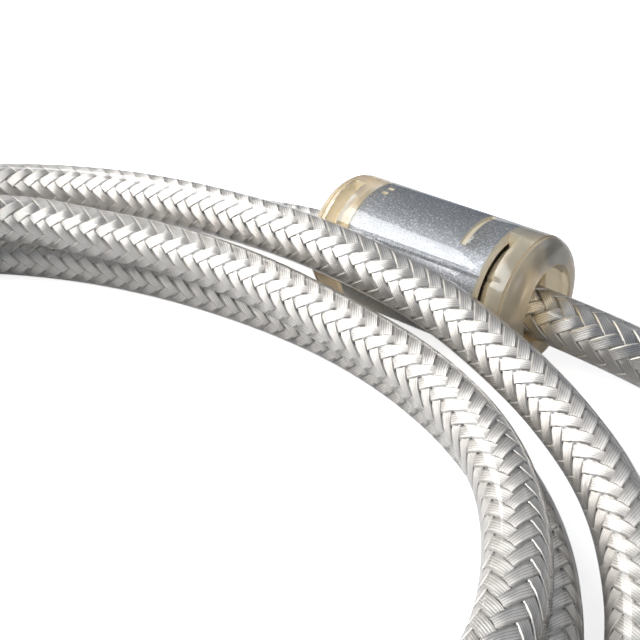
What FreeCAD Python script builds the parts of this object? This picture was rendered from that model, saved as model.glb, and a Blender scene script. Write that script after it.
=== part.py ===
import FreeCAD, Part
import math
import os

# A shielded data cable in a clear jacket, laid in a loose coil, with a ferrite choke round it
# and a plug at each end.  Millimetres.  The choke lies on the surface with its axis along X and
# its middle at the origin; +Y points away from the coil, +Z is up, and the surface is Z = 0.

# ---- driving dimensions -------------------------------------------------------------------

CABLE_D = 6.0              # over the clear jacket
REST_Z = CABLE_D / 2       # height of the cable's axis where it lies on the surface

# choke: a ferrite core sealed in a moulded cover, loose on the cable
CHOKE_R = 7.8
CHOKE_LENGTH = 29.5
CHOKE_EDGE_R = 2.2         # rounding of the cover's two ends
CORE_R = 6.6
CORE_LEFT = -9.7           # the core sits a little off the middle of its cover
CORE_RIGHT = 9.3
LINER_R = 5.1              # outside of the thin tube of the cover that lines the core
BORE_R = 4.4               # the hole that the cable runs through
BORE_EDGE = 0.6            # chamfer at each mouth
CABLE_DROP = 0.95          # the cable hangs this far below the middle of the bore
WITNESS_X = 13.0           # a fine ring groove left by the mould's end insert
WITNESS_DEPTH = 0.12
WITNESS_WIDTH = 0.35

# arc slots left in the cover by the fingers that held the core in the mould
SLOT_SPAN = 102.0          # degrees round the cover
SLOT_MIDDLE = 37.0         # degrees up from the front, where the mould halves meet
SLOT_FLOOR_R = 5.6
SLOTS_X = ((-12.5, -11.0), (9.3, 10.9))

# flat plug: grip, sprung metal shell, tongue with four contacts
FLAT_GRIP = (26.0, 15.6, 8.0)         # length, width, height
FLAT_SHELL = (12.0, 4.5)              # width, height
FLAT_REACH = 18.75                    # shell that stands out of the grip
FLAT_CONTACTS_Y = (-3.5, -1.0, 1.0, 3.5)
FLAT_WINDOW = (2.5, 2.0)              # latch holes, along and across the shell
FLAT_WINDOW_BACK = 6.4                # their middle, back from the nose
FLAT_WINDOW_Y = 2.6
TONGUE_TOP = -0.1

# square plug: grip, metal shell with two cut corners, hollow insulator with four contacts
SQUARE_GRIP = (28.0, 11.5, 10.6)
SQUARE_SHELL = (8.0, 7.26)
SQUARE_REACH = 11.75
SQUARE_CORNER = 1.9
SQUARE_MOUTH = (5.6, 3.1, 8.9)        # width, height, depth of the opening in the insulator
SQUARE_CONTACTS_Y = (-1.25, 1.25)

# what both plugs share
SHELL_WALL = 0.3
SHELL_BURIED = 8.0         # shell inside the grip
RELIEF_LENGTH = 14.0
RELIEF_RIBS = 5
RELIEF_GAP = 1.0
CABLE_IN_GRIP = 5.0
FERRULE_LENGTH = 3.0
FERRULE_WALL = 0.7
WIRE_D = 1.3
WIRE_PITCH = 1.9
CONTACT = (1.0, 0.2)       # width, thickness
BLOCK_LENGTH = 6.0         # inner block behind the shell, and its step into the shell
BLOCK_STEP = 2.0

# routes of the cable: corner points of its runs
CHOKE_AXIS_Z = CHOKE_R
THROUGH_Z = CHOKE_AXIS_Z - CABLE_DROP
ROUTE_TO_COIL = [
    (0, 0, THROUGH_Z), (-17.5, 0, THROUGH_Z), (-33, 1.8, 3.1), (-47.5, -2, REST_Z),
    (-60, -11, REST_Z), (-70, -23, REST_Z), (-76.5, -37.5, REST_Z), (-79.5, -53, REST_Z),
]
ROUTE_TO_FLAT_PLUG = [
    (-46.5, -25, 9.2), (-56, -33, 9.2), (-62.5, -45, 7.5), (-63, -59, 4.2), (-57.5, -71.5, 3.1),
    (-48.5, -79, 3.1), (-37.5, -82.2, 3.4), (-25.5, -81.9, 4), (-13, -81, 4),
]
ROUTE_TO_SQUARE_PLUG = [
    (0, 0, THROUGH_Z), (18, 0, THROUGH_Z), (35, 2, 3.4), (47.5, -2, REST_Z),
    (56.5, -11, 3.3), (61.5, -23, 4.2), (63.2, -36, 5.3), (63.2, -49, 5.3),
]

# outer shape of the coil of loose turns: an oval ring of quarter ellipses round its centre
COIL_CENTRE = (-13.0, -64.0)
COIL_OUTER = {"right": 70.0, "far": 55.8, "left": 70.0, "near": 59.0}
COIL_INNER = {"right": 50.5, "far": 43.9, "left": 57.5, "near": 37.0}
COIL_HEIGHT = 14.8
COIL_EDGE_R = 5.0          # rounding of the ring's outer top edge

os.makedirs("parts", exist_ok=True)


# ---- helpers ------------------------------------------------------------------------------

def vec(x, y, z):
    return FreeCAD.Vector(x, y, z)


def save(name, shape):
    shape.exportStep(f"parts/{name}.step")
    solids = shape.Solids
    print(f"{name:28s} solids {len(solids)}  valid {shape.isValid()}  {shape.Volume:10.2f} mm3")


def slab(x0, x1, width, height, y=0.0, z=0.0):
    """A box along X from x0 to x1, centred on the line at (y, z)."""
    return Part.makeBox(x1 - x0, width, height, vec(x0, y - width / 2, z - height / 2))


def rod(x0, x1, radius, y=0.0, z=0.0):
    return Part.makeCylinder(radius, x1 - x0, vec(x0, y, z), vec(1, 0, 0))


def edges_along_x(shape):
    return [e for e in shape.Edges if abs(abs(e.tangentAt(e.FirstParameter).x) - 1) < 1e-6]


def edges_at_x(shape, x):
    return [e for e in shape.Edges if all(abs(v.X - x) < 1e-6 for v in e.Vertexes)]


def cable_tube(name, route):
    """Straight runs joined by arcs as large as their runs allow, as one closed tube."""
    points = [vec(*p) for p in route]
    edges = []
    radii = []
    start = points[0]
    for before, corner, after in zip(points, points[1:], points[2:]):
        back = (before - corner).normalize()
        on = (after - corner).normalize()
        half_turn = (math.pi - back.getAngle(on)) / 2
        trim = 0.45 * min(before.distanceToPoint(corner), after.distanceToPoint(corner))
        radius = trim / math.tan(half_turn)
        arc_start = corner + back * trim
        arc_end = corner + on * trim
        to_middle = (back + on).normalize()
        middle = corner + to_middle * (radius / math.cos(half_turn) - radius)
        edges.append(Part.LineSegment(start, arc_start).toShape())
        edges.append(Part.Arc(arc_start, middle, arc_end).toShape())
        radii.append(round(radius, 1))
        start = arc_end
    edges.append(Part.LineSegment(start, points[-1]).toShape())
    path = Part.Wire(edges)
    ring = Part.Wire(Part.makeCircle(CABLE_D / 2, points[0], points[1] - points[0]))
    tube = path.makePipeShell([ring], True, False)
    section = math.pi * CABLE_D ** 2 / 4
    print(f"{name}: length {path.Length:.1f}, volume ratio "
          f"{tube.Volume / (section * path.Length):.4f}, radii {radii}")
    return tube


def oval_block(size, height):
    """A block whose outline is four quarter ellipses with shared tangents."""
    quarters = [("right", "far"), ("left", "far"), ("left", "near"), ("right", "near")]
    block = None
    for number, (side, end) in enumerate(quarters):
        unit = Part.makeCylinder(1, height, vec(0, 0, 0), vec(0, 0, 1), 90)
        unit.rotate(vec(0, 0, 0), vec(0, 0, 1), 90 * number)
        stretch = FreeCAD.Matrix()
        stretch.scale(size[side], size[end], 1)
        quarter = unit.transformGeometry(stretch)
        block = quarter if block is None else block.fuse(quarter)
    block = block.removeSplitter()
    block.translate(vec(*COIL_CENTRE, 0))
    return block


# ---- choke --------------------------------------------------------------------------------

def on_choke_axis(shape):
    shape.translate(vec(0, 0, CHOKE_AXIS_Z))
    return shape


def slot_sector(middle):
    """A wedge about the X axis, wider than the cover, that limits a slot's span."""
    reach = CHOKE_R + 3
    low = math.radians(middle - SLOT_SPAN / 2)
    high = math.radians(middle + SLOT_SPAN / 2)
    centre = math.radians(middle)

    def at(angle):
        return vec(0, -reach * math.cos(angle), reach * math.sin(angle))

    edge = Part.Arc(at(low), at(centre), at(high)).toShape()
    sides = [Part.LineSegment(vec(0, 0, 0), at(low)).toShape(), edge,
             Part.LineSegment(at(high), vec(0, 0, 0)).toShape()]
    face = Part.Face(Part.Wire(sides))
    face.translate(vec(-CHOKE_LENGTH / 2, 0, 0))
    return face.extrude(vec(CHOKE_LENGTH, 0, 0))


def make_cover():
    half = CHOKE_LENGTH / 2
    body = rod(-half, half, CHOKE_R)
    ends = [e for e in body.Edges if e.isClosed()]
    body = body.makeFillet(CHOKE_EDGE_R, ends)
    body = body.cut(rod(-half, half, BORE_R))
    mouths = [e for e in body.Edges
              if isinstance(e.Curve, Part.Circle) and abs(e.Curve.Radius - BORE_R) < 1e-6]
    body = body.makeChamfer(BORE_EDGE, mouths)
    body = body.cut(core_shape())
    for x0, x1 in SLOTS_X:
        ring = rod(x0, x1, CHOKE_R + 1).cut(rod(x0, x1, SLOT_FLOOR_R))
        for middle in (SLOT_MIDDLE, SLOT_MIDDLE + 180):
            body = body.cut(ring.common(slot_sector(middle)))
    for x in (-WITNESS_X, WITNESS_X):
        groove = rod(x - WITNESS_WIDTH / 2, x + WITNESS_WIDTH / 2, CHOKE_R + 1)
        groove = groove.cut(rod(x - WITNESS_WIDTH, x + WITNESS_WIDTH, CHOKE_R - WITNESS_DEPTH))
        body = body.cut(groove)
    return body


def core_shape():
    return rod(CORE_LEFT, CORE_RIGHT, CORE_R).cut(rod(CORE_LEFT, CORE_RIGHT, LINER_R))


# ---- plugs, built along +X with the back of the grip at x = 0 -------------------------------

def rounded_bar(x0, x1, width, height, edge):
    bar = slab(x0, x1, width, height)
    return bar.makeFillet(edge, edges_along_x(bar))


def plug_grip(size, edge, opening, cavity):
    """A rounded grip, open at the front for the shell and bored at the back for the cable."""
    length, width, height = size
    body = rounded_bar(0, length, width, height, edge)
    body = body.makeFillet(0.8, edges_at_x(body, length) + edges_at_x(body, 0))
    for side in (-1, 1):
        for i in range(4):
            x = length * 0.34 + i * 2.6
            body = body.cut(slab(x, x + 1.1, 1.2, height * 0.55, y=side * width / 2))
    body = body.cut(opening)
    bore_end = CABLE_IN_GRIP + FERRULE_LENGTH
    body = body.cut(slab(bore_end, length - SHELL_BURIED, *cavity))
    return body.cut(rod(0, bore_end, CABLE_D / 2))


def crimp_ferrule():
    end = CABLE_IN_GRIP + FERRULE_LENGTH
    return rod(CABLE_IN_GRIP, end, CABLE_D / 2).cut(
        rod(CABLE_IN_GRIP, end, CABLE_D / 2 - FERRULE_WALL))


def strain_relief(grip_edge_r):
    """A ribbed taper behind the grip: rings joined by a thin sleeve."""
    pitch = RELIEF_LENGTH / RELIEF_RIBS
    relief = rod(-RELIEF_LENGTH, 0, CABLE_D / 2 + 0.6)
    for i in range(RELIEF_RIBS):
        x1 = -i * pitch
        share = i / (RELIEF_RIBS - 1)
        radius = grip_edge_r * (1 - share) + (CABLE_D / 2 + 0.9) * share
        relief = relief.fuse(rod(x1 - pitch + RELIEF_GAP, x1, radius))
    return relief.cut(rod(-RELIEF_LENGTH, 0, CABLE_D / 2)).removeSplitter()


def four(make, ys, zs):
    return Part.makeCompound([make(y, z) for y, z in zip(ys, zs)])


def wires(start, end):
    step = WIRE_PITCH / 2
    return four(lambda y, z: rod(start, end, WIRE_D / 2, y, z),
                (-step, step, -step, step), (-step, -step, step, step))


def flat_plug():
    length = FLAT_GRIP[0]
    nose = length + FLAT_REACH
    wide, high = FLAT_SHELL
    inside = (wide - 2 * SHELL_WALL, high - 2 * SHELL_WALL)
    buried = length - SHELL_BURIED
    block_start = buried - BLOCK_LENGTH

    outline = rounded_bar(buried, nose, wide, high, 0.6)
    shell = outline.cut(rounded_bar(buried, nose, *inside, 0.3))
    window_x = nose - FLAT_WINDOW_BACK
    for y in (-FLAT_WINDOW_Y, FLAT_WINDOW_Y):
        shell = shell.cut(slab(window_x - FLAT_WINDOW[0] / 2, window_x + FLAT_WINDOW[0] / 2,
                               FLAT_WINDOW[1], high + 2, y=y))

    base_end = nose - 11.8
    tongue_front = nose - 0.4
    tongue_low = -inside[1] / 2
    tongue_thick = TONGUE_TOP - tongue_low
    tongue = rounded_bar(buried + BLOCK_STEP, base_end, *inside, 0.3)
    tongue = tongue.fuse(slab(base_end, tongue_front, inside[0] - 0.6, tongue_thick,
                              z=tongue_low + tongue_thick / 2))

    contacts = []
    for y in FLAT_CONTACTS_Y:
        front = tongue_front - (0.9 if abs(y) > 2 else 1.9)
        contacts.append(slab(base_end, front, *CONTACT, y=y, z=TONGUE_TOP + CONTACT[1] / 2))

    cavity = (11.0, 6.1)
    block = slab(block_start, buried, *cavity)
    return {
        "grip": plug_grip(FLAT_GRIP, 2.6, outline, cavity),
        "strain_relief": strain_relief(4.0),
        "metal_shell": shell,
        "tongue": tongue,
        "contacts": Part.makeCompound(contacts),
        "inner_block": block.fuse(rounded_bar(buried, buried + BLOCK_STEP, *inside, 0.3)),
        "crimp_ferrule": crimp_ferrule(),
        "wire_ends": wires(CABLE_IN_GRIP, block_start),
    }


def square_outline(width, height, corner, x):
    half_w = width / 2
    half_h = height / 2
    corners = [vec(x, -half_w, -half_h), vec(x, half_w, -half_h), vec(x, half_w, half_h - corner),
               vec(x, half_w - corner, half_h), vec(x, corner - half_w, half_h),
               vec(x, -half_w, half_h - corner)]
    return Part.Face(Part.makePolygon(corners + corners[:1]))


def square_bar(x0, x1, width, height, corner):
    return square_outline(width, height, corner, x0).extrude(vec(x1 - x0, 0, 0))


def square_plug():
    length = SQUARE_GRIP[0]
    nose = length + SQUARE_REACH
    wide, high = SQUARE_SHELL
    inside = (wide - 2 * SHELL_WALL, high - 2 * SHELL_WALL, SQUARE_CORNER - SHELL_WALL * 0.6)
    buried = length - SHELL_BURIED
    block_start = buried - BLOCK_LENGTH

    outline = square_bar(buried, nose, wide, high, SQUARE_CORNER)
    shell = outline.cut(square_bar(buried, nose, *inside))

    mouth_wide, mouth_high, depth = SQUARE_MOUTH
    front = nose - 0.5
    insulator = square_bar(buried + BLOCK_STEP, front, *inside)
    insulator = insulator.cut(slab(front - depth, front, mouth_wide, mouth_high))

    level = mouth_high / 2 - CONTACT[1] / 2
    contacts = [slab(front - depth, front - 1, *CONTACT, y=y, z=z)
                for y in SQUARE_CONTACTS_Y for z in (-level, level)]

    cavity = (8.6, 7.8)
    block = slab(block_start, buried, *cavity)
    return {
        "grip": plug_grip(SQUARE_GRIP, 2.2, outline, cavity),
        "strain_relief": strain_relief(4.6),
        "metal_shell": shell,
        "insulator": insulator,
        "contacts": Part.makeCompound(contacts),
        "inner_block": block.fuse(square_bar(buried, buried + BLOCK_STEP, *inside)),
        "crimp_ferrule": crimp_ferrule(),
        "wire_ends": wires(CABLE_IN_GRIP, block_start),
    }


def on_cable_end(shape, route):
    """Move a plug so that its bore takes the last run of the route."""
    before, end = vec(*route[-2]), vec(*route[-1])
    along = end - before
    heading = math.degrees(math.atan2(along.y, along.x))
    shape.rotate(vec(0, 0, 0), vec(0, 0, 1), heading)
    back = vec(math.cos(math.radians(heading)), math.sin(math.radians(heading)), 0)
    shape.translate(end - back * CABLE_IN_GRIP)
    return shape


# ---- all the pieces -------------------------------------------------------------------------

save("choke_cover", on_choke_axis(make_cover()))
save("ferrite_core", on_choke_axis(core_shape()))

save("cable_to_coil", cable_tube("cable_to_coil", ROUTE_TO_COIL))
save("cable_to_flat_plug", cable_tube("cable_to_flat_plug", ROUTE_TO_FLAT_PLUG))
save("cable_to_square_plug", cable_tube("cable_to_square_plug", ROUTE_TO_SQUARE_PLUG))
coil = oval_block(COIL_OUTER, COIL_HEIGHT)
coil = coil.makeFillet(COIL_EDGE_R, [e for e in coil.Edges
                                     if all(v.Z > COIL_HEIGHT - 0.01 for v in e.Vertexes)])
save("cable_coil", coil.cut(oval_block(COIL_INNER, COIL_HEIGHT)))

for piece, shape in flat_plug().items():
    save(f"flat_plug_{piece}", on_cable_end(shape, ROUTE_TO_FLAT_PLUG))
for piece, shape in square_plug().items():
    save(f"square_plug_{piece}", on_cable_end(shape, ROUTE_TO_SQUARE_PLUG))
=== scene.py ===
import math

import bmesh
import bpy
import numpy as np
from bpy.props import FloatProperty, FloatVectorProperty, IntProperty, PointerProperty
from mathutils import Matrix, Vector


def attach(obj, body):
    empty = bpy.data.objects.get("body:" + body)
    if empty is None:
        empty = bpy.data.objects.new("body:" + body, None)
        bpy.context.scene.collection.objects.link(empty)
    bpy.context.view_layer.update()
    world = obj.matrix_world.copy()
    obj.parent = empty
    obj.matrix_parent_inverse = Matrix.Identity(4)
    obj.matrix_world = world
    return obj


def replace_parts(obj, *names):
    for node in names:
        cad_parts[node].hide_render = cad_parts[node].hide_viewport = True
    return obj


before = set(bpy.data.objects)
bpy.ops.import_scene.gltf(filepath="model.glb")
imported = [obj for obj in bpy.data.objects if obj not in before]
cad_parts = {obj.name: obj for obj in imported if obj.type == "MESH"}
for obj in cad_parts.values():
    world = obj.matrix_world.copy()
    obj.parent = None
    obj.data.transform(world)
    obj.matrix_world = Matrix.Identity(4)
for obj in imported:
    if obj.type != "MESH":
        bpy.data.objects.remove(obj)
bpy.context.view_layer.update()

bl_info = {
    "name": "Shielded Cable with Ferrite Choke",
    "version": (1, 0, 0),
    "blender": (4, 5, 0),
    "location": "View3D > Sidebar > Cable",
    "description": "A jacketed braided cable in a loose coil, with its choke and plugs",
    "category": "Add Mesh",
}

MM = 0.001

# Routes of the cable: corner points of its runs, in metres.
ROUTE_TO_COIL = [
    (0, 0, 0.00685), (-0.0175, 0, 0.00685), (-0.033, 0.0018, 0.0031), (-0.0475, -0.002, 0.003),
    (-0.06, -0.011, 0.003), (-0.07, -0.023, 0.003), (-0.0765, -0.0375, 0.003),
    (-0.0795, -0.053, 0.003),
]
ROUTE_TO_FLAT_PLUG = [
    (-0.0465, -0.025, 0.0092), (-0.056, -0.033, 0.0092), (-0.0625, -0.045, 0.0075),
    (-0.063, -0.059, 0.0042), (-0.0575, -0.0715, 0.0031), (-0.0485, -0.079, 0.0031),
    (-0.0375, -0.0822, 0.0034), (-0.0255, -0.0819, 0.004), (-0.013, -0.081, 0.004),
]
ROUTE_TO_SQUARE_PLUG = [
    (0, 0, 0.00685), (0.018, 0, 0.00685), (0.035, 0.002, 0.0034), (0.0475, -0.002, 0.003),
    (0.0565, -0.011, 0.0033), (0.0615, -0.023, 0.0042), (0.0632, -0.036, 0.0053),
    (0.0632, -0.049, 0.0053),
]

# The loose turns, as seen from above their centre and counted anticlockwise from +X:
# angle in degrees, reach from the centre in mm, height of the cable's axis in mm.
COIL_CENTRE = (-13.0, -64.0)
COIL_STEP = 10
LOWEST = 3.0
TURNS = [
    (180, 67, 3), (210, 61, 3), (240, 51.5, 3), (270, 46, 3), (300, 46.5, 3), (330, 51.5, 3),
    (360, 57.5, 3), (390, 57, 3), (405, 55.2, 3), (420, 53, 3), (435, 51.3, 3), (450, 50.1, 3),
    (465, 50.2, 3), (480, 51.8, 3), (495, 54.3, 3), (510, 57.5, 3), (525, 60, 3),
    (540, 60.6, 3), (570, 54.4, 3), (600, 45, 3), (630, 39.8, 3), (645, 39.6, 4.6),
    (660, 42, 8), (675, 48, 9.4), (690, 55.2, 7.8), (705, 61, 4.5), (720, 64.3, 3),
    (735, 65, 3.1), (750, 64.5, 4.6), (760, 63.5, 6.2), (770, 61.2, 7.4), (780, 58.6, 8.9),
    (790, 56.5, 10.4), (800, 53.9, 11.7), (810, 53.2, 11.9), (820, 54.2, 11.2),
    (830, 56.5, 10.3), (840, 59.3, 9.4), (850, 61.6, 8.8), (870, 64.3, 8), (885, 64.6, 7.6),
    (900, 63.8, 8.2), (930, 57, 8.6), (945, 50.3, 9), (960, 43, 8.8), (975, 37, 6.8),
    (990, 33.6, 4.4), (1005, 33, 3.4), (1020, 35.8, 3.2), (1035, 41, 3.4), (1050, 45.4, 4.4),
    (1065, 49.5, 6.4), (1080, 53.4, 8), (1095, 54.6, 8.5), (1110, 54, 8.6), (1125, 52.4, 8.6),
    (1140, 49.6, 8.5), (1155, 47, 8.4), (1170, 46.9, 8.3), (1185, 47.4, 8.6), (1200, 48.6, 8.9),
]
# The turns are slacker on their near side: they reach up to this share further there,
# fading to nothing this many degrees to either side of it.
NEAR_SIDE, NEAR_SPAN, NEAR_SWELL = 268, 72, 0.23

# Braid: eight flat ribbons of fine wire wound each way, over two and under two.
CARRIERS = 8
LAY_LENGTH = 18.7 * MM
WEAVE = 0.085 * MM          # how far a ribbon rises over and dips under the others
RIBBON_THICK = 0.12 * MM
RIBBON_TOP = 0.38           # how far from its middle a ribbon's flat top reaches
WIRES_DRAWN = 6.0           # per ribbon; the real eight are too fine to show
WIRE_RELIEF = 0.03 * MM
ROWS_PER_CROSSING = 2

# Clear PVC, in mm: patches of haze, and the waves of its skin.
HAZE_SIZE = 4
SKIN_WAVE, SKIN_DEPTH = 1.6, 0.03

# Choke, in mm along and across its own axis, and degrees up from its front.
CHOKE_Z = 7.8
CORE_ENDS = (-9.7, 9.3)
LEFT_SLOT, RIGHT_SLOT = (-12.5, -11.0), (9.3, 10.9)
SLOT_FLOOR = 5.6
SLOT_FROM, SLOT_TO = -14, 88
LIFT_MARK = (5.3, 6.0)          # shallow mark where the moulding was lifted out
LIFT_FROM, LIFT_TO = 58, 109
PIN_MARK = (-8.0, -7.3)         # two pins that held the core
PIN_SPANS = ((82, 85), (91, 94))
MARK_FLOOR = 7.35
END_ROUNDING = 2.2
BORE_EDGE, RIM_ROUNDING = 0.6, 0.12
CORE_EDGE, CORE_BORE_EDGE = 0.3, 0.2
OUTER_BAND = 0.2                # faces this near the outside belong to it
RING_X, RING_WIDTH, RING_DEPTH = 13.0, 0.35, 0.12
SEAM_ANGLE, SEAM_DEPTH = 37, 0.3
FIRST_ANGLE = 1                 # puts facet edges on the seam and the slots' ends
MOULDED, FROSTED, THIN_SKIN = range(3)      # the cover's materials
SHARP_EDGE = math.radians(35)


def linear(code):
    """Linear colour of an sRGB hex code, with alpha 1."""
    channels = [int(code[i:i + 2], 16) / 255 for i in (1, 3, 5)]
    return tuple(c / 12.92 if c <= 0.04045 else ((c + 0.055) / 1.055) ** 2.4
                 for c in channels) + (1.0,)


class CableSettings(bpy.types.PropertyGroup):
    diameter: FloatProperty(
        name="Diameter", description="Cable diameter over its clear jacket",
        default=0.006, min=0.003, max=0.012, unit="LENGTH")
    foil_radius: FloatProperty(
        name="Foil radius", description="Wrapped foil under the braid",
        default=0.00226, min=0.001, max=0.005, unit="LENGTH")
    braid_radius: FloatProperty(
        name="Braid radius", description="Middle of the weave",
        default=0.0024, min=0.001, max=0.0055, unit="LENGTH")
    ribbon_width: FloatProperty(
        name="Ribbon width", description="Width of one flat ribbon of wires",
        default=0.00138, min=0.0005, max=0.003, unit="LENGTH")
    jacket_colour: FloatVectorProperty(
        name="Jacket", description="Tint of the clear jacket", subtype="COLOR", size=4,
        min=0, max=1, default=linear("#f6f3ee"))
    wire_colour: FloatVectorProperty(
        name="Wire", description="Tinned copper wires of the braid", subtype="COLOR", size=4,
        min=0, max=1, default=linear("#e8e6e4"))


class ChokeSettings(bpy.types.PropertyGroup):
    radius: FloatProperty(
        name="Cover radius", description="Outside of the moulded cover",
        default=0.0078, min=0.007, max=0.02, unit="LENGTH")
    length: FloatProperty(
        name="Cover length", description="Cover from end to end",
        default=0.0295, min=0.028, max=0.06, unit="LENGTH")
    bore_radius: FloatProperty(
        name="Bore radius", description="Hole in the cover that the cable runs through",
        default=0.0044, min=0.003, max=0.005, unit="LENGTH")
    core_radius: FloatProperty(
        name="Core radius", description="Outside of the ferrite core",
        default=0.0066, min=0.006, max=0.0075, unit="LENGTH")
    core_bore: FloatProperty(
        name="Core bore", description="Radius of the hole in the ferrite core",
        default=0.0051, min=0.003, max=0.0056, unit="LENGTH")
    facets: IntProperty(
        name="Facets", description="Facets round the choke", default=120, min=60, max=240)
    cover_colour: FloatVectorProperty(
        name="Cover", description="Tint of the moulded cover", subtype="COLOR", size=4,
        min=0, max=1, default=linear("#fbf1da"))
    skin_colour: FloatVectorProperty(
        name="Skin", description="Tint of the thin moulding over the core", subtype="COLOR",
        size=4, min=0, max=1, default=linear("#fbf8f2"))


class PlugSettings(bpy.types.PropertyGroup):
    cover_colour: FloatVectorProperty(
        name="Grip", description="Colour of the moulded grips", subtype="COLOR", size=4,
        min=0, max=1, default=linear("#e9dfc4"))


def add_node(tree, kind, links=None, inputs=None, stops=None, **settings):
    """Add a shader node: its settings, input values, links and, on a ramp, its stops."""
    node = tree.nodes.new(kind)
    for name, value in settings.items():
        setattr(node, name, value)
    for name, value in (inputs or {}).items():
        node.inputs[name].default_value = value
    for name, source in (links or {}).items():
        tree.links.new(source, node.inputs[name])
    for number, (position, code) in enumerate(stops or ()):
        elements = node.color_ramp.elements
        element = elements[number] if number < 2 else elements.new(position)
        element.position = position
        element.color = linear(code)
    return node


def new_material(name, **values):
    """A material with its Principled node, given some input values, joined to its output."""
    material = bpy.data.materials.new(name)
    material.use_nodes = True
    tree = material.node_tree
    tree.nodes.clear()
    inputs = {key.replace("_", " "): value for key, value in values.items()}
    shader = add_node(tree, "ShaderNodeBsdfPrincipled", inputs=inputs)
    add_node(tree, "ShaderNodeOutputMaterial", {"Surface": shader.outputs[0]})
    return material, tree, shader


def clear_pvc(name, tint, low, high, haze, amber=None):
    """Soft PVC, extruded or moulded: clear and glossy, with a roughness from low to high, a
    share of milky haze and an uneven skin. Amber is a colour, and how strongly a metre of
    the material takes it."""
    material, tree, shader = new_material(
        name, Base_Color=tint, IOR=1.53, Transmission_Weight=1 - haze)
    place = add_node(tree, "ShaderNodeTexCoord").outputs["Object"]
    cloud = add_node(tree, "ShaderNodeTexNoise", {"Vector": place},
                     {"Scale": 1 / (HAZE_SIZE * MM), "Detail": 3})
    gloss = add_node(tree, "ShaderNodeMapRange", {"Value": cloud.outputs[0]},
                     {"To Min": low, "To Max": high})
    waves = add_node(tree, "ShaderNodeTexNoise", {"Vector": place},
                     {"Scale": 1 / (SKIN_WAVE * MM)})
    skin = add_node(tree, "ShaderNodeBump", {"Height": waves.outputs[0]},
                    {"Distance": SKIN_DEPTH * MM, "Strength": 0.6})
    tree.links.new(gloss.outputs[0], shader.inputs["Roughness"])
    tree.links.new(skin.outputs[0], shader.inputs["Normal"])
    # Lamps shine through, where the moulding would otherwise cast a solid shadow.
    through = add_node(tree, "ShaderNodeBsdfTransparent", inputs={"Color": tint})
    ray = add_node(tree, "ShaderNodeLightPath")
    mixed = add_node(tree, "ShaderNodeMixShader", {
        0: ray.outputs["Is Shadow Ray"], 1: shader.outputs[0], 2: through.outputs[0]})
    output = next(node for node in tree.nodes if node.type == "OUTPUT_MATERIAL")
    tree.links.new(mixed.outputs[0], output.inputs["Surface"])
    if amber:
        colour, density = amber
        volume = add_node(tree, "ShaderNodeVolumeAbsorption",
                          inputs={"Color": linear(colour), "Density": density})
        tree.links.new(volume.outputs[0], output.inputs["Volume"])
    return material


def tinned_copper_wire(name, colour):
    """Tinned copper wire, drawn and braided: bright metal. The wires lie side by side in a
    ribbon, so each ribbon smears the light across them. Painted shade darkens the grooves."""
    material, tree, shader = new_material(name, Metallic=1.0, Anisotropic=0.88)
    place = add_node(tree, "ShaderNodeUVMap", uv_map="ribbon").outputs[0]
    across = add_node(tree, "ShaderNodeSeparateXYZ", {0: place}).outputs[0]
    wires = add_node(tree, "ShaderNodeMath", {0: across}, {1: WIRES_DRAWN}, operation="MULTIPLY")
    half = add_node(tree, "ShaderNodeMath", {0: wires.outputs[0]}, {1: 0.5},
                    operation="PINGPONG")
    bulge = add_node(tree, "ShaderNodeMath", {0: half.outputs[0]}, {1: 2.0},
                     operation="MULTIPLY")
    round_wire = add_node(tree, "ShaderNodeMath", {0: bulge.outputs[0]}, {1: 0.5},
                          operation="POWER")
    # Painted shade: the colour darkens from each wire's crown into the grooves between the wires.
    tone = add_node(tree, "ShaderNodeValToRGB", {"Fac": round_wire.outputs[0]},
                    stops=((0.15, "#5a5754"), (0.55, "#eceae8")))
    colour_with_painted_shade = add_node(tree, "ShaderNodeMix", {6: tone.outputs[0]}, {0: 0.2, 7: colour},
                      data_type="RGBA")
    relief = add_node(tree, "ShaderNodeBump", {"Height": round_wire.outputs[0]},
                      {"Distance": WIRE_RELIEF, "Strength": 0.45})
    dull = add_node(tree, "ShaderNodeTexNoise", {"Vector": place}, {"Scale": 0.8})
    gloss = add_node(tree, "ShaderNodeMapRange", {"Value": dull.outputs[0]},
                     {"To Min": 0.26, "To Max": 0.42})
    smear = add_node(tree, "ShaderNodeTangent", direction_type="UV_MAP", uv_map="ribbon")
    tree.links.new(colour_with_painted_shade.outputs[2], shader.inputs["Base Color"])
    tree.links.new(relief.outputs[0], shader.inputs["Normal"])
    tree.links.new(gloss.outputs[0], shader.inputs["Roughness"])
    tree.links.new(smear.outputs[0], shader.inputs["Tangent"])
    return material


def patterned(name, size, stops, low, high, depth, stretch=(1, 1, 1), **values):
    """A finish whose colour, roughness from low to high and skin follow one grain, with its
    size and depth in mm."""
    material, tree, shader = new_material(name, **values)
    place = add_node(tree, "ShaderNodeTexCoord").outputs["Object"]
    drawn = add_node(tree, "ShaderNodeMapping", {"Vector": place}, {"Scale": stretch})
    grain = add_node(tree, "ShaderNodeTexNoise", {"Vector": drawn.outputs[0]},
                     {"Scale": 1 / (size * MM), "Detail": 3})
    tone = add_node(tree, "ShaderNodeValToRGB", {"Fac": grain.outputs[0]}, stops=stops)
    gloss = add_node(tree, "ShaderNodeMapRange", {"Value": grain.outputs[0]},
                     {"To Min": low, "To Max": high})
    skin = add_node(tree, "ShaderNodeBump", {"Height": grain.outputs[0]},
                    {"Distance": depth * MM})
    tree.links.new(tone.outputs[0], shader.inputs["Base Color"])
    tree.links.new(gloss.outputs[0], shader.inputs["Roughness"])
    tree.links.new(skin.outputs[0], shader.inputs["Normal"])
    return material


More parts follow.
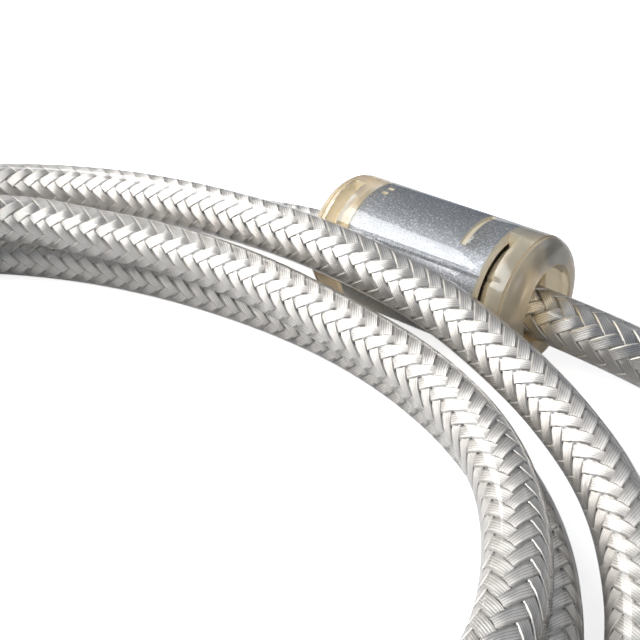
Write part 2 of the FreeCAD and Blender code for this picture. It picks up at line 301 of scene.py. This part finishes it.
def between(keys, angle):
    """Reach and height at an angle, on a smooth curve through the keyed ones."""
    last = len(keys) - 1
    right = next((i for i, key in enumerate(keys) if key[0] >= angle), last)
    right = max(right, 1)
    around = [keys[min(max(right + offset, 0), last)] for offset in (-2, -1, 0, 1)]
    before, start, end, after = around
    share = (angle - start[0]) / (end[0] - start[0])
    found = []
    for axis in (1, 2):
        span = end[0] - start[0]
        slope_in = span * (end[axis] - before[axis]) / (end[0] - before[0])
        slope_out = span * (after[axis] - start[axis]) / (after[0] - start[0])
        s2, s3 = share ** 2, share ** 3
        found.append((2 * s3 - 3 * s2 + 1) * start[axis] + (s3 - 2 * s2 + share) * slope_in
                     + (3 * s2 - 2 * s3) * end[axis] + (s3 - s2) * slope_out)
    return found


def slackened(angle, reach):
    """Reach of a turn with the slack of the near side, to a tenth of a millimetre."""
    away = min(abs(angle % 360 - NEAR_SIDE) / NEAR_SPAN, 1)
    return round(reach * (1 + NEAR_SWELL * math.cos(away * math.pi / 2) ** 2), 1)


def coil_points():
    """Corner points of the loose turns, in metres, outside their line by the corner's bulge."""
    points = []
    keys = [(angle, slackened(angle, reach), height) for angle, reach, height in TURNS]
    for angle in range(TURNS[0][0], TURNS[-1][0] + 1, COIL_STEP):
        reach, height = between(keys, angle)
        reach /= math.cos(math.radians(COIL_STEP / 2))
        turn = math.radians(angle)
        points.append(((COIL_CENTRE[0] + reach * math.cos(turn)) * MM,
                       (COIL_CENTRE[1] + reach * math.sin(turn)) * MM,
                       max(height, LOWEST) * MM))
    return points


def spline_curve(name, points):
    """A curve of one open NURBS spline with these control points."""
    curve = bpy.data.curves.new(name, "CURVE")
    curve.dimensions = "3D"
    curve.resolution_u = 12
    spline = curve.splines.new("NURBS")
    spline.points.add(len(points) - 1)
    for place, point in zip(points, spline.points):
        point.co = (*place, 1)
    spline.order_u = 3
    spline.use_endpoint_u = True
    return curve


def in_scene(name, data):
    """A new object with this data, in the scene and at its origin."""
    obj = bpy.data.objects.new(name, data)
    bpy.context.scene.collection.objects.link(obj)
    return obj


def route_places(points):
    """Even steps along a route's smooth spline: distance from its start, and place."""
    curve = spline_curve("line", points)
    holder = bpy.data.objects.new("line", curve)
    mesh = bpy.data.meshes.new_from_object(holder)
    places = np.array([vertex.co[:] for vertex in mesh.vertices])
    bpy.data.meshes.remove(mesh)
    bpy.data.objects.remove(holder)
    bpy.data.curves.remove(curve)
    steps = np.linalg.norm(np.diff(places, axis=0), axis=1)
    along = np.concatenate([[0], np.cumsum(steps)])
    even = np.linspace(0, along[-1], int(along[-1] / MM) + 1)
    return even, resampled(even, along, places)


def resampled(where, along, values):
    """Values known at distances along a line, at other distances."""
    return np.stack([np.interp(where, along, values[:, axis]) for axis in range(3)], 1)


def carried_frames(places):
    """Two directions square to the line at each place, carried along it without twist."""
    tangents = np.gradient(places, axis=0)
    tangents /= np.linalg.norm(tangents, axis=1)[:, None]
    side = np.cross(tangents[0], (0, 0, 1))
    sides = []
    for tangent in tangents:
        side = side - tangent * np.dot(side, tangent)
        side /= np.linalg.norm(side)
        sides.append(side)
    sides = np.array(sides)
    return sides, np.cross(tangents, sides)


def weave_ribbons(bm, points, hand, radius, width):
    """Wind the ribbons of one hand, 1 or -1, round a route, over two and under two."""
    along, places = route_places(points)
    sides, ups = carried_frames(places)
    length = along[-1]
    crossing = LAY_LENGTH / (2 * CARRIERS)
    slant = math.atan2(2 * math.pi * radius, LAY_LENGTH)
    for carrier in range(CARRIERS):
        strip = bmesh.new()
        bmesh.ops.create_grid(strip, x_segments=4, size=0.5,
                              y_segments=int(length / crossing * ROWS_PER_CROSSING))
        flat = np.array([vertex.co[:] for vertex in strip.verts]) + 0.5
        corners = (0, 0.25, 0.5, 0.75, 1)
        across = np.interp(flat[:, 0], corners, (-0.5, -RIBBON_TOP, RIBBON_TOP, 0.5, -0.5))
        top = np.interp(flat[:, 0], corners, (0, 1, 1, 0, 0))
        offset = across * width
        run = np.clip(flat[:, 1] * length - hand * offset * math.sin(slant), 0, length)
        turns = carrier / CARRIERS + hand * flat[:, 1] * length / LAY_LENGTH
        turns += offset * math.cos(slant) / radius / (2 * math.pi)
        meets = carrier + CARRIERS * (turns + hand * run / LAY_LENGTH)
        over = hand * np.clip(1.7 * np.cos((meets - 0.5) * math.pi / 2), -1, 1)
        reach = radius + WEAVE * over + RIBBON_THICK * (top - 0.5)
        side, up = resampled(run, along, sides), resampled(run, along, ups)
        turn = 2 * math.pi * turns[:, None]
        out = side * np.cos(turn) + up * np.sin(turn)
        centre = resampled(run, along, places)
        layer = strip.loops.layers.uv.new("ribbon")
        for vertex, share, far, place in zip(strip.verts, across, run,
                                             centre + out * reach[:, None]):
            vertex.co = place
            for loop in vertex.link_loops:
                loop[layer].uv = (share + 0.5, far / width)
        bmesh.ops.remove_doubles(strip, verts=strip.verts, dist=1e-7)
        bmesh.ops.holes_fill(strip, edges=strip.edges)
        bmesh.ops.recalc_face_normals(strip, faces=strip.faces)
        ribbon = bpy.data.meshes.new("ribbon")
        strip.to_mesh(ribbon)
        strip.free()
        bm.from_mesh(ribbon)
        bpy.data.meshes.remove(ribbon)


def finish_piece(name, bm, materials, body):
    """Put a bmesh in the scene, smooth but for its sharp edges, riding on a body."""
    for face in bm.faces:
        face.smooth = True
    for edge in bm.edges:
        edge.smooth = edge.calc_face_angle(0) < SHARP_EDGE
    mesh = bpy.data.meshes.new(name)
    bm.to_mesh(mesh)
    bm.free()
    for material in materials:
        mesh.materials.append(material)
    obj = in_scene(name, mesh)
    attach(obj, body)
    return obj


def spin_ring(outline, facets):
    """Turn a closed outline of corners (x, radius), in mm, into a ring round the X axis."""
    bm = bmesh.new()
    first = math.radians(FIRST_ANGLE)
    corners = [bm.verts.new((x * MM, -r * MM * math.cos(first), r * MM * math.sin(first)))
               for x, r in outline]
    edges = [bm.edges.new(pair) for pair in zip(corners, corners[1:] + corners[:1])]
    bmesh.ops.spin(bm, geom=corners + edges, cent=(0, 0, 0), axis=(-1, 0, 0),
                   angle=2 * math.pi, steps=facets, use_merge=True)
    bmesh.ops.remove_doubles(bm, verts=bm.verts, dist=1e-7)
    bmesh.ops.recalc_face_normals(bm, faces=bm.faces)
    return bm


def up_from_front(place):
    """Degrees round the X axis, from the front upwards, 0 to 360."""
    return math.degrees(math.atan2(place.z, -place.y)) % 360


def on_half_turn(angle, low, high):
    """Whether an angle is between two others, on either side of the axis."""
    return low < (angle - low) % 180 + low < high


def cover_end(side, half, bore, radius):
    """Corners of the cover's end from its bore outwards, with the fine ring round it."""
    corners = [(half - BORE_EDGE, bore), (half, bore + BORE_EDGE)]
    middle = half - END_ROUNDING
    low, high = RING_X - RING_WIDTH / 2, RING_X + RING_WIDTH / 2
    for x in [middle + END_ROUNDING * math.cos(math.radians(a)) for a in range(0, 70, 10)]:
        corners.append((x, radius - END_ROUNDING
                        + math.sqrt(max(END_ROUNDING ** 2 - (x - middle) ** 2, 0))))
    for x, depth in ((high, 0), (high, RING_DEPTH), (low, RING_DEPTH), (low, 0), (middle, 0)):
        corners.append((x, radius - END_ROUNDING - depth
                        + math.sqrt(END_ROUNDING ** 2 - (x - middle) ** 2)))
    return [(side * x, r) for x, r in corners]


def sink(bm, span, start, end, floor, radius):
    """Sink the cover's skin over a span of x, in mm, and of angle, on both sides."""
    lid = []
    for face in bm.faces:
        centre = face.calc_center_median()
        if (span[0] * MM < centre.x < span[1] * MM
                and math.hypot(centre.y, centre.z) > (radius - OUTER_BAND) * MM
                and on_half_turn(up_from_front(centre), start, end)):
            lid.append(face)
    rim = {edge for face in lid for edge in face.edges
           if sum(other in lid for other in edge.link_faces) == 1}
    sunk = bmesh.ops.extrude_face_region(bm, geom=lid)["geom"]
    verts = [part for part in sunk if isinstance(part, bmesh.types.BMVert)]
    bmesh.ops.scale(bm, verts=verts, vec=(1, floor / radius, floor / radius))
    for face in {face for vert in verts for face in vert.link_faces}:
        face.material_index = FROSTED
    bmesh.ops.delete(bm, geom=[face for face in lid if face.is_valid], context="FACES_ONLY")
    bmesh.ops.bevel(bm, geom=[edge for edge in rim if edge.is_valid], segments=2,
                    offset=RIM_ROUNDING * MM, profile=0.5, affect="EDGES", material=-1)


def set_down(bm):
    """Move a ring from the origin to the choke's place."""
    bmesh.ops.translate(bm, verts=bm.verts, vec=(0, 0, CHOKE_Z * MM))


class CABLE_OT_stage(bpy.types.Operator):
    """Floor, studio lights and camera"""
    bl_idname = "cable.stage"
    bl_label = "Stage"

    def execute(self, context):
        bm = bmesh.new()
        bmesh.ops.create_grid(bm, x_segments=1, y_segments=1, size=3)
        bmesh.ops.translate(bm, verts=bm.verts, vec=(0, 0, -0.05 * MM))
        mesh = bpy.data.meshes.new("floor")
        bm.to_mesh(mesh)
        bm.free()
        floor = in_scene("floor", mesh)
        # White paper, uncoated: bright and quite flat. The lift is for the camera alone, so
        # that the paper is white and the cable doesn't mirror a lit table.
        material, tree, shader = new_material(
            "white_paper", Base_Color=linear("#fafafa"), Roughness=0.9,
            Emission_Color=linear("#ffffff"))
        ray = add_node(tree, "ShaderNodeLightPath").outputs["Is Camera Ray"]
        lift = add_node(tree, "ShaderNodeMath", {0: ray}, {1: 0.75}, operation="MULTIPLY")
        tree.links.new(lift.outputs[0], shader.inputs["Emission Strength"])
        mesh.materials.append(material)

        world = bpy.data.worlds.new("studio")
        context.scene.world = world
        world.use_nodes = True
        background = world.node_tree.nodes["Background"]
        background.inputs["Color"].default_value = linear("#7d8a9c")
        background.inputs["Strength"].default_value = 0.62
        context.scene.view_settings.view_transform = "Standard"

        lamps = (("key", (-0.41, -0.38, 0.50), 0.55, 0.40, 4.4),
                 ("fill", (0.55, -0.30, 0.45), 0.30, 0.30, 0.5),
                 ("left", (-0.60, 0.02, 0.42), 0.45, 0.30, 2.2),
                 ("back", (0.10, 0.60, 0.50), 0.50, 0.30, 0.45))
        for name, place, width, height, power in lamps:
            lamp = bpy.data.lights.new(name, "AREA")
            lamp.shape = "RECTANGLE"
            lamp.size, lamp.size_y = width, height
            lamp.energy = power
            obj = in_scene(name, lamp)
            obj.location = place
            target = Vector((0, -0.03, 0)) - Vector(place)
            obj.rotation_euler = target.to_track_quat("-Z", "Y").to_euler()

        camera = bpy.data.cameras.new("camera")
        camera.sensor_width = 36
        camera.lens = 69.57
        camera.clip_start = 0.01
        obj = in_scene("camera", camera)
        obj.location = (0.0718, -0.1088, 0.0777)
        obj.rotation_euler = Vector((-0.548, 0.661, -0.512)).to_track_quat("-Z", "Y").to_euler()
        context.scene.camera = obj
        return {"FINISHED"}


class CABLE_OT_jacket(bpy.types.Operator):
    """Both stretches of cable: the clear jacket, and the wrapped foil under the braid"""
    bl_idname = "cable.jacket"
    bl_label = "Jacket and Foil"

    def execute(self, context):
        settings = context.scene.cable_settings
        # PVC extruded over the braid: clear and glossy, with hardly a tint.
        jacket = clear_pvc("clear_pvc_extruded", settings.jacket_colour, 0.02, 0.08, 0.0)
        # Polyester film with an aluminium face, wrapped with an overlap: its silver darkened to
        #         # painted shade, which shows in the gaps of the braid.
        foil = patterned("aluminium_foil_wrap", 1.5, ((0.3, "#4c4b4c"), (0.7, "#737273")),
                         0.4, 0.6, 0.04, Metallic=1.0)
        layers = (("jacket", settings.diameter / 2, jacket), ("foil", settings.foil_radius, foil))
        for layer, radius, material in layers:
            for stretch, points in STRETCHES:
                curve = spline_curve(f"{layer}_{stretch}", points)
                curve.bevel_depth = radius
                curve.bevel_resolution = 5
                curve.use_fill_caps = True
                curve.materials.append(material)
                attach(in_scene(curve.name, curve), "cable")

        jacket_long = bpy.data.objects["jacket_long"]
        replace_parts(jacket_long, "cable_to_coil", "cable_coil", "cable_to_flat_plug")
        jacket_short = bpy.data.objects["jacket_short"]
        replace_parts(jacket_short, "cable_to_square_plug")
        return {"FINISHED"}


class CABLE_OT_braid(bpy.types.Operator):
    """The shield: flat ribbons of wire wound both ways under the jacket"""
    bl_idname = "cable.braid"
    bl_label = "Braid"

    def execute(self, context):
        settings = context.scene.cable_settings
        wire = tinned_copper_wire("tinned_copper_braid", settings.wire_colour)
        for name, hand in (("braid_right_hand", 1), ("braid_left_hand", -1)):
            bm = bmesh.new()
            for _, points in STRETCHES:
                weave_ribbons(bm, points, hand, settings.braid_radius, settings.ribbon_width)
            finish_piece(name, bm, [wire], "cable")
        return {"FINISHED"}


class CABLE_OT_choke(bpy.types.Operator):
    """The choke: its ferrite core, and the moulded cover with its slots, rings and seam"""
    bl_idname = "cable.choke"
    bl_label = "Choke"

    def execute(self, context):
        settings = context.scene.choke_settings
        radius, bore = settings.radius / MM, settings.bore_radius / MM
        half = settings.length / MM / 2
        outline = cover_end(1, half, bore, radius)
        outline += [(x, radius) for x in (*RIGHT_SLOT[::-1], *LIFT_MARK[::-1], *PIN_MARK[::-1],
                                          CORE_ENDS[0], *LEFT_SLOT[::-1])]
        outline += cover_end(-1, half, bore, radius)[::-1]
        bm = spin_ring(outline, settings.facets)

        seam = [v for v in bm.verts if abs(v.co.x) <= -LEFT_SLOT[0] * MM + 1e-6
                and math.hypot(v.co.y, v.co.z) > (radius - 0.01) * MM
                and on_half_turn(up_from_front(v.co), SEAM_ANGLE - 0.5, SEAM_ANGLE + 0.5)]
        shallow = 1 - SEAM_DEPTH / radius
        bmesh.ops.scale(bm, verts=seam, vec=(1, shallow, shallow))
        for face in bm.faces:
            centre = face.calc_center_median()
            if (CORE_ENDS[0] * MM < centre.x < CORE_ENDS[1] * MM
                    and math.hypot(centre.y, centre.z) > (radius - OUTER_BAND) * MM):
                face.material_index = THIN_SKIN
        sink(bm, LEFT_SLOT, SLOT_FROM, SLOT_TO, SLOT_FLOOR, radius)
        sink(bm, RIGHT_SLOT, SLOT_FROM, SLOT_TO, SLOT_FLOOR, radius)
        sink(bm, LIFT_MARK, LIFT_FROM, LIFT_TO, MARK_FLOOR, radius)
        for low, high in PIN_SPANS:
            sink(bm, PIN_MARK, low, high, MARK_FLOOR, radius)
        bmesh.ops.recalc_face_normals(bm, faces=bm.faces)
        set_down(bm)
        # PVC moulded over the core, yellowed with age: milky, and amber where it is thick.
        cover = clear_pvc("clear_pvc_moulded", settings.cover_colour, 0.1, 0.22, 0.34,
                          amber=("#eccb86", 45.0))
        # Over the core the moulding is thin and hides little.
        skin = clear_pvc("clear_pvc_thin_skin", settings.skin_colour, 0.05, 0.12, 0.07)
        # The same PVC where the tool left it frosted, in the slots and the pin marks.
        frosted = clear_pvc("clear_pvc_frosted", settings.cover_colour, 0.35, 0.5, 0.5)
        materials = {MOULDED: cover, FROSTED: frosted, THIN_SKIN: skin}
        moulding = finish_piece("choke_moulding", bm,
                                [materials[number] for number in sorted(materials)], "choke")
        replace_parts(moulding, "choke_cover")

        outer, inner = settings.core_radius / MM, settings.core_bore / MM
        left, right = CORE_ENDS
        bm = spin_ring([
            (right, inner + CORE_BORE_EDGE), (right, outer - CORE_EDGE),
            (right - CORE_EDGE, outer), (left + CORE_EDGE, outer),
            (left, outer - CORE_EDGE), (left, inner + CORE_BORE_EDGE),
            (left + CORE_BORE_EDGE, inner), (right - CORE_BORE_EDGE, inner)], settings.facets)
        set_down(bm)
        # Manganese-zinc ferrite, pressed and fired: slate grey and matt, with pale grains.
        ferrite = patterned("sintered_ferrite", 0.2, ((0.3, "#6a7079"), (0.55, "#868b94"),
                                                      (0.72, "#c9cad2")),
                            0.3, 0.42, 0.006, Metallic=0.6)
        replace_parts(finish_piece("ferrite_ring", bm, [ferrite], "choke"), "ferrite_core")
        return {"FINISHED"}


class CABLE_OT_plugs(bpy.types.Operator):
    """Finishes of the plugs at both ends"""
    bl_idname = "cable.plugs"
    bl_label = "Plugs"

    def execute(self, context):
        settings = context.scene.plug_settings
        # Nickel plate on drawn and folded steel: bright, with fine drawing marks.
        nickel = patterned("nickel_plated_steel", 0.25, ((0.3, "#b9b4ab"), (0.7, "#d6d2ca")),
                           0.16, 0.3, 0.004, stretch=(0.08, 1, 1), Metallic=1.0)
        # Glass-filled nylon, moulded: a faint flow pattern and a fine matt skin.
        white = patterned("white_nylon", 1.2, ((0.35, "#dcd9d0"), (0.65, "#ece9e2")),
                          0.4, 0.55, 0.01, IOR=1.53)
        black = patterned("black_nylon", 1.2, ((0.35, "#18191b"), (0.65, "#232427")),
                          0.4, 0.55, 0.01, IOR=1.53)
        # Gold flash over nickel: warm and smooth.
        gold = patterned("gold_flash", 0.4, ((0.3, "#d8a84d"), (0.7, "#e8bf69")),
                         0.12, 0.24, 0.003, Metallic=1.0)
        # Natural polyethylene block that holds the contacts: milky and waxy.
        block = patterned("natural_polyethylene", 2.0, ((0.35, "#cfc9b8"), (0.65, "#dfdacb")),
                          0.35, 0.5, 0.01, IOR=1.5)
        # Red polyethylene, extruded over the wires: smooth, with a soft gloss.
        insulation = patterned("polyethylene_insulation", 1.0,
                               ((0.35, "#a8352c"), (0.65, "#c04a3c")), 0.3, 0.45, 0.01, IOR=1.5)
        # The plugs' grips are the same PVC, moulded with more haze.
        grip = clear_pvc("clear_pvc_grip", settings.cover_colour, 0.08, 0.2, 0.35,
                         amber=("#e6c681", 60.0))
        finishes = {"grip": grip, "strain_relief": grip, "metal_shell": nickel,
                    "tongue": white, "insulator": black, "contacts": gold,
                    "inner_block": block, "crimp_ferrule": nickel, "wire_ends": insulation}
        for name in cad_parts:
            for plug in ("flat_plug_", "square_plug_"):
                if name.startswith(plug):
                    node = bpy.data.objects[name]
                    node.material_slots[0].material = finishes[name[len(plug):]]
        return {"FINISHED"}


class CABLE_PT_build(bpy.types.Panel):
    """Builds the cable's pieces and shows their sizes and colours"""
    bl_label = "Shielded Cable"
    bl_idname = "CABLE_PT_build"
    bl_space_type = "VIEW_3D"
    bl_region_type = "UI"
    bl_category = "Cable"

    def draw(self, context):
        for name, operators in GROUPS:
            box = self.layout.box()
            settings = getattr(context.scene, name, None)
            for key in getattr(settings, "__annotations__", ()):
                box.prop(settings, key)
            for operator in operators:
                box.operator(operator.bl_idname)


STRETCHES = (("long", ROUTE_TO_COIL + coil_points() + ROUTE_TO_FLAT_PLUG),
             ("short", ROUTE_TO_SQUARE_PLUG))
GROUPS = (("stage", (CABLE_OT_stage,)),
          ("cable_settings", (CABLE_OT_jacket, CABLE_OT_braid)),
          ("choke_settings", (CABLE_OT_choke,)),
          ("plug_settings", (CABLE_OT_plugs,)))
CLASSES = (CableSettings, ChokeSettings, PlugSettings, CABLE_OT_stage, CABLE_OT_jacket,
           CABLE_OT_braid, CABLE_OT_choke, CABLE_OT_plugs, CABLE_PT_build)


def register():
    for cls in CLASSES:
        bpy.utils.register_class(cls)
    bpy.types.Scene.cable_settings = PointerProperty(type=CableSettings)
    bpy.types.Scene.choke_settings = PointerProperty(type=ChokeSettings)
    bpy.types.Scene.plug_settings = PointerProperty(type=PlugSettings)


def unregister():
    del bpy.types.Scene.plug_settings
    del bpy.types.Scene.choke_settings
    del bpy.types.Scene.cable_settings
    for cls in reversed(CLASSES):
        bpy.utils.unregister_class(cls)


def main():
    register()
    bpy.ops.cable.stage()
    bpy.ops.cable.jacket()
    bpy.ops.cable.braid()
    bpy.ops.cable.choke()
    bpy.ops.cable.plugs()


if __name__ == "__main__":
    main()
